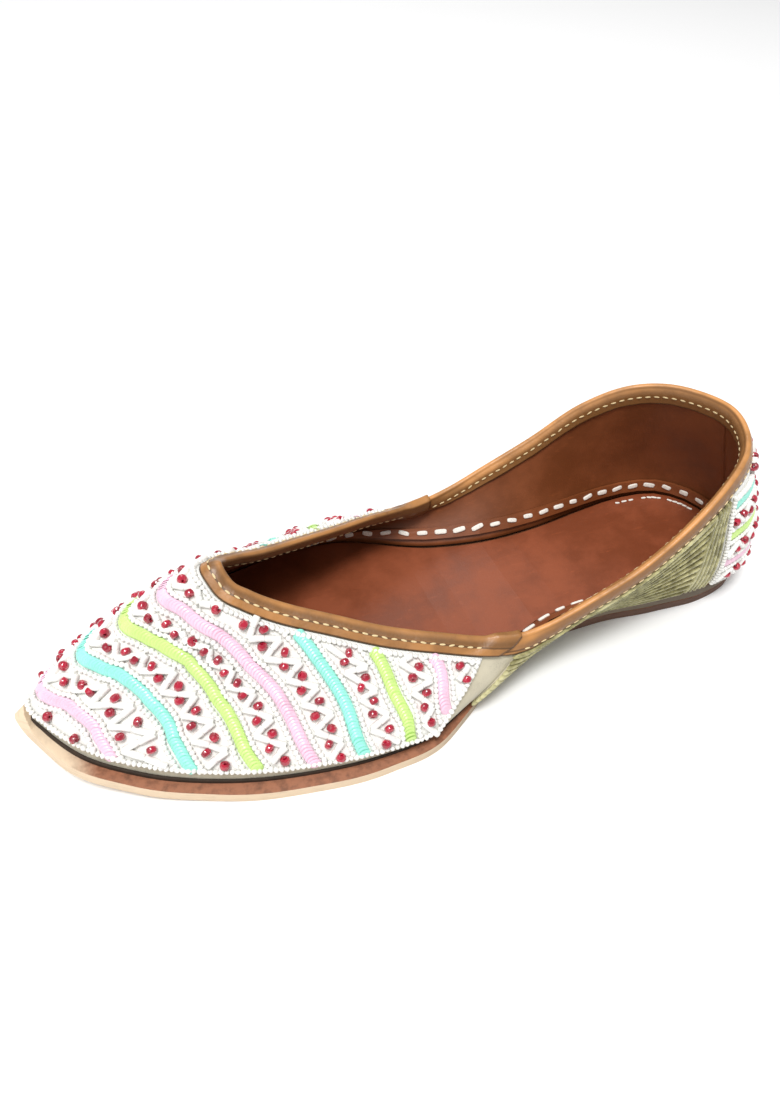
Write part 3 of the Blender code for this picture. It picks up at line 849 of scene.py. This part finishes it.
class Beadwork:
    """A field of arched bands: coloured strips, border rows, and a zigzag between.
    family gives ribs and heights along any strip, and keep says whether a bead that
    needs some room lies inside the field."""

    WALK = np.linspace(0.0, 1.0, 500)
    NARROWEST_BAND = 4 * MM
    FURTHEST_OFFSET = 0.46
    AHEAD = 0.01

    def __init__(self, name, family, strip_colours, keep):
        self.name = name
        self.family = family
        self.keep = keep
        self.sequins = {}
        self.seeds = []
        self.tubes = []
        self.reds = []
        jitter = np.random.default_rng(7)
        for strip, tone in enumerate(strip_colours):
            if tone:
                self.place_strip(strip, tone, jitter)
            for side in (-1, 1):
                if 0 <= strip + side < len(strip_colours):
                    self.place_border(strip, side, jitter)
        for strip in range(len(strip_colours) - 1):
            self.place_band(strip, jitter)

    def offset(self, strip, distance):
        """Ribs and heights of the line a distance from a strip, back where negative."""
        side = math.copysign(1.0, distance)
        here = LAST.at(*self.family(strip, self.WALK))
        across = LAST.at(*self.family(strip + side, self.WALK)) - here
        along = np.gradient(here, axis=0)
        along /= np.linalg.norm(along, axis=1)[:, None] + 1e-12
        across -= (across * along).sum(1)[:, None] * along
        width = np.maximum(np.linalg.norm(across, axis=1), self.NARROWEST_BAND)
        share = np.minimum(abs(distance) / width, self.FURTHEST_OFFSET)
        return self.family(strip + side * share, self.WALK)

    def place_strip(self, strip, tone, jitter):
        """Sequins that overlap like scales."""
        s = sizes()
        row = Row(*self.family(strip, self.WALK), GROUND_TOP + SEQUIN_LIFT)
        film = self.sequins.setdefault(tone, [])
        for point, along, normal, rib, height in row.stops(s.sequin_pitch):
            if self.keep(rib, height, STRIP_ROOM_AT_EDGE):
                film.append(stand(point, along, normal, s.sequin, s.sequin, s.sequin,
                                  jitter.normal(0, 0.05), SEQUIN_LEAN + jitter.normal(0, 0.05)))

    def place_border(self, strip, side, jitter):
        s = sizes()
        row = Row(*self.offset(strip, side * s.border), seed_depth())
        for point, along, normal, rib, height in row.stops(s.seed_pitch):
            if self.keep(rib, height, STRIP_ROOM_AT_EDGE):
                self.seeds.append(stand(
                    point + normal * jitter.normal(0, 0.06 * MM), along, normal,
                    s.seed_pitch * 1.12, s.seed * jitter.uniform(0.9, 1.08), s.seed,
                    jitter.normal(0, 0.1)))

    def place_band(self, strip, jitter):
        """Two tube beads from corner to corner of the zigzag, a glass bead in each bend."""
        s = sizes()
        middle = Row(*self.family(strip + 0.5, self.WALK), 0.0)
        count = int(middle.run[-1] / s.zigzag_step) + 1
        walks = np.interp(np.arange(count) * s.zigzag_step, middle.run, self.WALK)

        def by_turns(distance, first):
            """Places at the band's two strips by turns, starting at the first or second."""
            lines = self.offset(strip, distance), self.offset(strip + 1, -distance)
            return [tuple(np.interp(walk, self.WALK, line) for line in lines[(k + first) % 2])
                    for k, walk in enumerate(walks)]

        corners = by_turns(s.corner, 0)
        depth = GROUND_TOP + 0.45 * s.tube
        for start, end in zip(corners, corners[1:]):
            centre = np.add(start, end) / 2
            lower_end = min(height * LAST.length(rib) for rib, height in (start, end))
            if not self.keep(*centre, TUBE_ROOM_AT_EDGE) or lower_end < TUBE_END_ABOVE_SOLE:
                continue
            a, b = LAST.at(*start, depth), LAST.at(*end, depth)
            normal = LAST.normal(*centre)
            point = (a + b) / 2 + normal * jitter.normal(0, 0.08 * MM)
            for share in (-0.25, 0.25):
                self.tubes.append(stand(
                    point + (b - a) * share, b - a, normal, np.linalg.norm(b - a) * 0.5,
                    s.tube, s.tube, jitter.normal(0, 0.05)))
        for walk, place in zip(walks, by_turns(s.bead_place, 1)):
            if not self.keep(*place, GLASS_ROOM_AT_EDGE):
                continue
            before = LAST.at(*self.family(strip + 0.5, max(walk - self.AHEAD, 0.0)))
            after = LAST.at(*self.family(strip + 0.5, min(walk + self.AHEAD, 1.0)))
            self.reds.append(stand(
                LAST.at(*place, GROUND_TOP + 0.36 * s.red_bead), after - before,
                LAST.normal(*place), s.red_bead * 0.86, s.red_bead, s.red_bead,
                jitter.normal(0, 0.5), jitter.normal(0, 0.25)))

    def build(self, mirrored):
        """Join the beads of each kind, with their mirror images on the far side."""
        white = glazed_white()
        kinds = [("border_beads", ball(8, 6), self.seeds, white),
                 ("tube_beads", tube_bead(), self.tubes, white),
                 ("glass_beads", glass_bead(), self.reds, crimson_glass())]
        for tone, places in self.sequins.items():
            kinds.append((tone + "_sequins", sequin(), places, sequin_film(tone)))
        for kind, bead, places, material in kinds:
            far = [FLIP @ place @ FLIP for place in places] if mirrored else []
            scatter(f"{self.name}_{kind}", bead, places + far, material, "beadwork")


class JUTTI_OT_stage(bpy.types.Operator):
    """Pale floor, soft studio light and the camera"""
    bl_idname = "jutti.stage"
    bl_label = "Stage"

    def execute(self, context):
        self.floor()
        self.lights(context.scene)
        self.camera(context.scene)
        return {"FINISHED"}

    def floor(self):
        bm = bmesh.new()
        bmesh.ops.create_grid(bm, x_segments=1, y_segments=1, size=3.0)
        mesh = bpy.data.meshes.new("floor")
        bm.to_mesh(mesh)
        bm.free()
        skin = Finish("floor paper", Roughness=0.9)
        mesh.materials.append(skin.finish(skin.shade((0.94, 0.94, 0.94), skin.noise(400.0), 0.02)))
        floor = bpy.data.objects.new("floor", mesh)
        bpy.context.scene.collection.objects.link(floor)

    def lights(self, scene):
        scene.view_settings.view_transform = "Standard"
        world = bpy.data.worlds.new("studio")
        scene.world = world
        world.use_nodes = True
        background = world.node_tree.nodes["Background"]
        background.inputs["Color"].default_value = (1.0, 1.0, 1.0, 1.0)
        background.inputs["Strength"].default_value = 0.42
        for name, place, width, power in (
                ("key", (-0.5, -0.7, 2.6), 0.9, 61.0),
                ("fill", (-0.9, -0.5, 0.9), 0.9, 3.0),
                ("back", (0.1, 1.4, 1.4), 0.8, 6.0)):
            light = bpy.data.lights.new(name, "AREA")
            light.size = width
            light.energy = power
            lamp = bpy.data.objects.new(name, light)
            lamp.location = place
            aim = Vector((0.0, 0.0, 0.02)) - Vector(place)
            lamp.rotation_euler = aim.to_track_quat("-Z", "Y").to_euler()
            scene.collection.objects.link(lamp)

    def camera(self, scene):
        data = bpy.data.cameras.new("camera")
        data.lens = CAMERA_LENS
        data.sensor_width = 36.0
        data.clip_start = 0.01
        camera = bpy.data.objects.new("camera", data)
        place = Matrix.Translation(CAMERA_TARGET)
        for degrees, axis in ((CAMERA_AZIMUTH, "Z"), (90 - CAMERA_ELEVATION, "X"),
                              (CAMERA_ROLL, "Z")):
            place = place @ Matrix.Rotation(math.radians(degrees), 4, axis)
        camera.matrix_world = place @ Matrix.Translation((0.0, 0.0, CAMERA_DISTANCE))
        scene.collection.objects.link(camera)
        scene.camera = camera


class JUTTI_OT_upper(bpy.types.Operator):
    """Cloth outside and leather lining of the wall"""
    bl_idname = "jutti.upper"
    bl_label = "Upper"

    def execute(self, context):
        whole = -LAST_RIB, LAST_RIB
        sheet((*whole, 0.0, -WALL_TOP_ROOM, 0.0, 256, 16), WALL_LAYER, -1.0,
              "wall_cloth", plain_margin(), "lining_leather", "upper")
        sheet((*whole, 0.0, -WALL_TOP_ROOM, WALL_LAYER - WALL, 256, 16), WALL_LAYER, -1.0,
              "lining", brown_leather("lining leather", colours().lining, 1.0), "lining_leather")
        # A strip of painted shadow along the gap between the upper and the sole.
        sheet((*whole, SEAM_LOW, SEAM_HIGH, SEAM_DEPTH, 256, 3), SEAM_THICKNESS, -1.0,
              "sole_seam", painted_seam_shadow(), "sole_leather")
        return {"FINISHED"}


class JUTTI_OT_vamp(bpy.types.Operator):
    """Beadwork over the front"""
    bl_idname = "jutti.vamp"
    bl_label = "Vamp beadwork"

    def execute(self, context):
        sheet((-BEADWORK_END, BEADWORK_END, BEADED_MARGIN, -(BINDING_WIDTH + GAP), GAP, 160, 24),
              GROUND_THICKNESS, 1.0, "vamp_ground", woven_ground(), "beadwork",
              "vamp_embroidery")
        table = np.array(VAMP_STRIPS)
        knots = np.linspace(0.0, 1.0, table.shape[1])

        def family(strip, walk):
            low = np.clip(np.floor(strip).astype(int), 0, len(table) - 2)
            share = strip - low
            found = []
            for axis in (0, 1):
                lines = [spline(row[:, axis], knots, walk, axis == 0, True) for row in table]
                found.append(np.choose(low, lines) * (1 - share)
                             + np.choose(low + 1, lines) * share)
            return tuple(found)

        def keep(rib, height, room):
            length = LAST.length(rib)
            above = height * length
            return (0.0 <= rib < BEADWORK_END - 0.2 and above > BEADED_MARGIN + room
                    and above < length - BINDING_WIDTH - VAMP_BEADS_BELOW_BINDING - room)

        work = Beadwork("vamp", family, VAMP_COLOURS, keep)
        self.edge_rows(work.seeds)
        work.build(True)
        return {"FINISHED"}

    def edge_rows(self, seeds):
        """White beads along the back edge of the beadwork, the binding and the margin."""
        s = sizes()
        jitter = np.random.default_rng(11)
        below_binding = BINDING_WIDTH + EDGE_ROW_BELOW_BINDING
        length = float(LAST.length(BEADWORK_END))
        low = (BEADED_MARGIN + 0.8 * MM) / length
        back = np.full(80, BEADWORK_END - 0.1)
        ribs = np.linspace(0.0, BEADWORK_END - 0.15, 200)
        for row_ribs, heights in (
                (back, np.linspace(low, 1.0 - below_binding / length, 80)),
                (ribs, 1.0 - below_binding / LAST.length(ribs)),
                (ribs, (BEADED_MARGIN + 0.6 * MM) / LAST.length(ribs))):
            row = Row(row_ribs, heights, seed_depth())
            for point, along, normal, _, _ in row.stops(s.seed_pitch):
                seeds.append(stand(
                    point + normal * jitter.normal(0, 0.1 * MM), along, normal,
                    s.seed_pitch * jitter.uniform(0.9, 1.25), s.seed * jitter.uniform(0.75, 1.1),
                    s.seed, jitter.normal(0, 0.25)))


class JUTTI_OT_counter(bpy.types.Operator):
    """Beadwork round the heel"""
    bl_idname = "jutti.counter"
    bl_label = "Heel beadwork"

    def execute(self, context):
        s = sizes()
        sheet((COUNTER_START, 2 * LAST_RIB - COUNTER_START, LOWER_MARGIN,
               -(BINDING_WIDTH + PANEL_BELOW_BINDING), GAP, 90, 24),
              GROUND_THICKNESS, 1.0, "counter_ground", woven_ground(), "beadwork",
              "heel_counter")

        def family(strip, walk):
            ribs = LAST_RIB - (LAST_RIB - COUNTER_START) * walk
            level = COUNTER_FIRST_STRIP + COUNTER_STRIP_PITCH * strip
            return ribs, level / LAST.length(ribs)

        def keep(rib, height, room):
            length = LAST.length(rib)
            above = height * length
            return (rib > COUNTER_START + 0.12 and above > LOWER_MARGIN + 0.4 * room
                    and above < length - BINDING_WIDTH - COUNTER_BEADS_BELOW_BINDING - room)

        work = Beadwork("counter", family, COUNTER_COLOURS, keep)
        length = float(LAST.length(COUNTER_START))
        heights = np.linspace(2.6 * MM / length,
                              1.0 - (BINDING_WIDTH + EDGE_ROW_BELOW_BINDING) / length, 80)
        edge = Row(np.full(80, COUNTER_START + 0.05), heights, seed_depth())
        for point, along, normal, _, _ in edge.stops(s.seed_pitch):
            work.seeds.append(stand(point, along, normal, s.seed_pitch * 1.1, s.seed, s.seed))
        work.build(True)
        return {"FINISHED"}


class JUTTI_OT_sides(bpy.types.Operator):
    """Khaki cords laid along both sides"""
    bl_idname = "jutti.sides"
    bl_label = "Side cords"

    LENGTHWISE = 11
    CROSSWISE = 5
    FIRST_CROSSWISE = 0.06
    CROSSWISE_PITCH = 0.1
    ROOM_BELOW = 0.6 * MM
    ROOM_ABOVE = 0.9 * MM
    TWIST = math.radians(13)

    def level(self, ribs, share):
        """Heights at a share of the way up the corded panel."""
        length = LAST.length(ribs)
        low = (LOWER_MARGIN + self.ROOM_BELOW) / length
        high = 1.0 - (BINDING_WIDTH + self.ROOM_ABOVE) / length
        return low + (high - low) * share

    def execute(self, context):
        s = sizes()
        depth = GAP + 0.5 * s.cord
        ribs = np.linspace(CORDS_START, CORDS_END, 160)
        rows = [Row(ribs, self.level(ribs, k / (self.LENGTHWISE - 1)), depth)
                for k in range(self.LENGTHWISE)]
        for k in range(self.CROSSWISE):
            upright = np.full(60, CORDS_END + self.FIRST_CROSSWISE + k * self.CROSSWISE_PITCH)
            rows.append(Row(upright, self.level(upright, np.linspace(0.0, 1.0, 60)), depth))
        strands = [stand(point, along, normal, 2.1 * s.cord, 0.72 * s.cord, s.cord, self.TWIST)
                   for row in rows for point, along, normal, _, _ in row.stops(0.75 * s.cord)]
        cord = side_thread()
        cloth = plain_margin()
        for name, turn, first, last in (
                ("near", Matrix(), CORDS_START, CORD_BACKING_END),
                ("far", FLIP, -CORD_BACKING_END, -CORDS_START)):
            sheet((first, last, LOWER_MARGIN, -(BINDING_WIDTH + PANEL_BELOW_BINDING),
                   BACKING_DEPTH, 60, 10), BACKING_THICKNESS, 1.0, "side_backing_" + name,
                  cloth, "cord_thread")
            scatter("side_cords_" + name, ball(6, 4), [turn @ place @ turn for place in strands],
                    cord, "cord_thread", "side_panel_" + name)
        return {"FINISHED"}


def binding_fold(first, last, columns):
    """Strip of leather that goes up outside the wall, over it in a roll and down inside.
    The middle of its thickness is placed; v of its UV map runs from the outer edge to
    the inner one.  A strip that starts on the far side laps over the other's ends."""
    bm, along, v = flat_grid(columns, 32, "strip")
    ribs = first + (last - first) * along
    over = np.clip((v - ROLL_FROM) / (ROLL_TO - ROLL_FROM), 0.0, 1.0) * math.pi
    outer = v < 0.5
    leg = np.clip(np.where(outer, (ROLL_FROM - v) / ROLL_FROM, (v - ROLL_TO) / (1 - ROLL_TO)),
                  0.0, 1.0)
    below = leg * np.where(outer, BINDING_WIDTH, FOLD_INSIDE)
    spread = np.minimum(below / ROLL_LENGTH, 1.0)
    spread = spread * (2.0 - spread)
    middle = (ROLL_OUTER + ROLL_INNER) / 2
    radius = (ROLL_OUTER - ROLL_INNER) / 2
    depth = np.where(outer, ROLL_OUTER + (OUTER_LEG - ROLL_OUTER) * spread,
                     ROLL_INNER + (INNER_LEG - ROLL_INNER) * spread)
    on_roll = (over > 0.0) & (over < math.pi)
    depth = np.where(on_roll, middle + radius * np.cos(over), depth)
    above = np.where(on_roll, 1.1 * radius * np.sin(over), -below)
    if first < 0:
        lap = np.clip((np.abs(ribs) - BINDING_MEETING + LAP_BEFORE) / LAP_RISE, 0.0, 1.0)
        ribs *= 1.0 - FRONT_CUT * leg * outer
        depth += np.where(outer, 1.0, -1.0) * lap * (FOLD_THICKNESS + LAP_ROOM)
        above += lap * FOLD_THICKNESS * (1.0 - spread)
    ripple = 0.06 * MM * np.sin(ribs * 9.0 + 5.0 * v) + 0.05 * MM * np.sin(ribs * 23.0)
    depth += ripple * spread
    lay(bm, ribs, 1.0 + above / LAST.length(ribs), depth)
    face_up(bm)
    return bm


class JUTTI_OT_bindings(bpy.types.Operator):
    """Leather and stitches of the folded topline"""
    bl_idname = "jutti.bindings"
    bl_label = "Bindings"

    def execute(self, context):
        end = VAMP_BINDING_END
        start = QUARTER_BINDING_START
        # The last two numbers of each fold set the painted shade above its stitches and its
        # painted light level.
        for name, first, last, columns, below, painted_shade_above, painted_light_level in (
                ("vamp_binding", -end, end, 150, VAMP_STITCHES, 0.75, 0.8),
                ("quarter_binding", start, 2 * LAST_RIB - start, 190, QUARTER_STITCHES, 0.0, 1.1)):
            leather = tan_binding(name, ROLL_FROM * (1 - below / BINDING_WIDTH), painted_shade_above,
                                  painted_light_level)
            fold = hand_in(name + "_fold", binding_fold(first, last, columns), leather,
                           "binding_leather", name)
            thicken(fold, FOLD_THICKNESS, 0.0)
        s = sizes()
        outside = OUTER_LEG + FOLD_THICKNESS / 2 + STITCH_LIFT
        inside = INNER_LEG - FOLD_THICKNESS / 2 - STITCH_LIFT
        round_back = end + 0.1, 2 * LAST_RIB - end - 0.1
        stitches = []
        jitter = np.random.default_rng(5)
        for (first, last), below, depth in (
                ((0.45 - end, end - 0.45), VAMP_STITCHES, outside),
                (round_back, QUARTER_STITCHES, outside),
                ((0.1 - end, end - 0.1), INSIDE_STITCHES, inside),
                (round_back, INSIDE_STITCHES, inside)):
            ribs = np.linspace(first, last, 400)
            row = Row(ribs, 1.0 - below / LAST.length(ribs), depth)
            for point, along, normal, _, _ in row.stops(s.binding_stitch_pitch):
                stitches.append(stand(point, along, normal, s.binding_stitch, STITCH_WIDTH,
                                      STITCH_HEIGHT, jitter.normal(0, 0.12)))
        scatter("binding_stitches", ball(8, 6), stitches,
                thread("cream thread", colours().thread, 0.35), "binding_leather")
        return {"FINISHED"}


class JUTTI_OT_inside(bpy.types.Operator):
    """Insole, inner strip and its lace stitches"""
    bl_idname = "jutti.inside"
    bl_label = "Inside"

    def execute(self, context):
        c = colours()
        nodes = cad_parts
        nodes["insole"].data.materials[0] = brown_leather("insole leather", c.insole, 1.5)
        nodes["inner_strip"].data.materials[0] = brown_leather(
            "strip leather", times(c.lining, 1.1), 1.0)
        jitter = np.random.default_rng(3)
        stitches = self.strip_stitches(jitter) + self.insole_stitches(jitter)
        scatter("inner_lace", lace_stitch(), stitches, thread("white lace", c.lace, 0.6),
                "binding_leather")
        return {"FINISHED"}

    def strip_stitches(self, jitter):
        s = sizes()
        ribs = np.linspace(LACE_START, 2 * LAST_RIB - LACE_START, 500)
        row = Row(ribs, LACE_HEIGHT / LAST.length(ribs),
                  -(WALL + STRIP_ROOM + STRIP_THICKNESS + 0.15 * MM))
        return [stand(point, along, normal, s.inner_stitch * jitter.uniform(0.7, 1.1),
                      jitter.uniform(1.4, 1.9) * MM, 0.9 * MM, jitter.normal(0, 0.14))
                for point, along, normal, _, _ in row.stops(s.inner_stitch_pitch)]

    def insole_stitches(self, jitter):
        """Small stitches on the insole round the heel, with a few missing."""
        stitches = []
        top = SOLE_THICKNESS + INSOLE_THICKNESS + 0.55 * MM
        for rib in np.linspace(LAST_RIB - INSOLE_STITCHES_REACH,
                               LAST_RIB + INSOLE_STITCHES_REACH, 34):
            x, y, _ = LAST.sole_edge(rib, INSOLE_STITCHES_INSIDE)
            further, side, _ = LAST.sole_edge(rib + 0.05, INSOLE_STITCHES_INSIDE)
            if jitter.uniform() < 0.8:
                stitches.append(stand(
                    (x + LAST.shift, -y, float(sole_rise(x)) + top),
                    (further - x, y - side, 0.0), (0.0, 0.0, 1.0),
                    jitter.uniform(1.4, 2.2) * MM, 0.8 * MM, 0.4 * MM, jitter.normal(0, 0.2)))
        return stitches


def lace_stitch():
    bm = bmesh.new()
    bmesh.ops.create_cube(bm, size=1.0)
    bmesh.ops.bevel(bm, geom=bm.edges[:], offset=0.28, segments=3, profile=0.5, affect="EDGES",
                    material=-1)
    return bm


class JUTTI_OT_soles(bpy.types.Operator):
    """Outsole and heel lift with raw cut edges"""
    bl_idname = "jutti.soles"
    bl_label = "Soles"

    BLUNT = 0.08
    ROUNDING = 0.5 * MM

    def execute(self, context):
        c = colours()
        breast = HEEL_BREAST * SHOE_LENGTH
        feet = LAST.columns["foot_x"]
        first = float(np.interp(breast, feet, np.arange(len(feet))))
        # The last argument of each raw_sole is how strongly painted shade darkens the near side's
        # edge at the waist and heel.
        self.slab("outsole", 0.0, SOLE_THICKNESS, sole_rise,
                  raw_sole("sole leather", c.edge, c.ledge, 0.92))
        self.slab("heel_lift", first, HEEL_LIFT_THICKNESS, lambda x: 0.0,
                  raw_sole("heel lift leather", c.lift, c.ledge, 0.9))
        return {"FINISHED"}

    def slab(self, node, first, thickness, underside, material):
        """A flat piece with the sole's outline and a slightly uneven cut edge.  Its ends are
        cut BLUNT ribs short, so that no face shrinks to a point."""
        start = max(first, self.BLUNT)
        bm, along, across = flat_grid(200, 14)
        ribs = start + (LAST_RIB - self.BLUNT - start) * along
        for vert, rib, share in zip(bm.verts, ribs, across):
            waver = 0.16 * MM * math.sin(rib * 2.3) + 0.09 * MM * math.sin(rib * 5.1 + 1.0)
            x, y, lift = LAST.sole_edge(rib, waver)
            y *= 1.0 - 2.0 * share
            z = underside(x) + lift * math.exp(-(y / TOE_NUB_HALF_WIDTH) ** 2)
            vert.co = (x + LAST.shift, y, z)
        bmesh.ops.remove_doubles(bm, verts=bm.verts, dist=1e-6)
        bmesh.ops.recalc_face_normals(bm, faces=bm.faces)
        face_up(bm)
        piece = hand_in(node + "_leather", bm, material, "sole_leather", node)
        thicken(piece, thickness, 1.0, False)
        edge = piece.modifiers.new("Edge", "BEVEL")
        edge.width = self.ROUNDING
        edge.segments = 3
        edge.limit_method = "ANGLE"
        edge.angle_limit = math.radians(50)


class JUTTI_PT_panel(bpy.types.Panel):
    bl_idname = "JUTTI_PT_panel"
    bl_label = "Jutti"
    bl_space_type = "VIEW_3D"
    bl_region_type = "UI"
    bl_category = "Jutti"

    def draw(self, context):
        layout = self.layout
        for group in (context.scene.jutti_sizes, context.scene.jutti_colours):
            for name in group.__annotations__:
                layout.prop(group, name)
        for operator in OPERATORS:
            layout.operator(operator.bl_idname)


OPERATORS = (JUTTI_OT_upper, JUTTI_OT_soles, JUTTI_OT_inside, JUTTI_OT_vamp, JUTTI_OT_counter,
             JUTTI_OT_sides, JUTTI_OT_bindings, JUTTI_OT_stage)
CLASSES = (JuttiSizes, JuttiColours, *OPERATORS, JUTTI_PT_panel)


def register():
    for item in CLASSES:
        bpy.utils.register_class(item)
    bpy.types.Scene.jutti_sizes = PointerProperty(type=JuttiSizes)
    bpy.types.Scene.jutti_colours = PointerProperty(type=JuttiColours)


def unregister():
    del bpy.types.Scene.jutti_colours
    del bpy.types.Scene.jutti_sizes
    for item in reversed(CLASSES):
        bpy.utils.unregister_class(item)


def main():
    register()
    for operator in OPERATORS:
        group, name = operator.bl_idname.split(".")
        getattr(getattr(bpy.ops, group), name)()


if __name__ == "__main__":
    main()
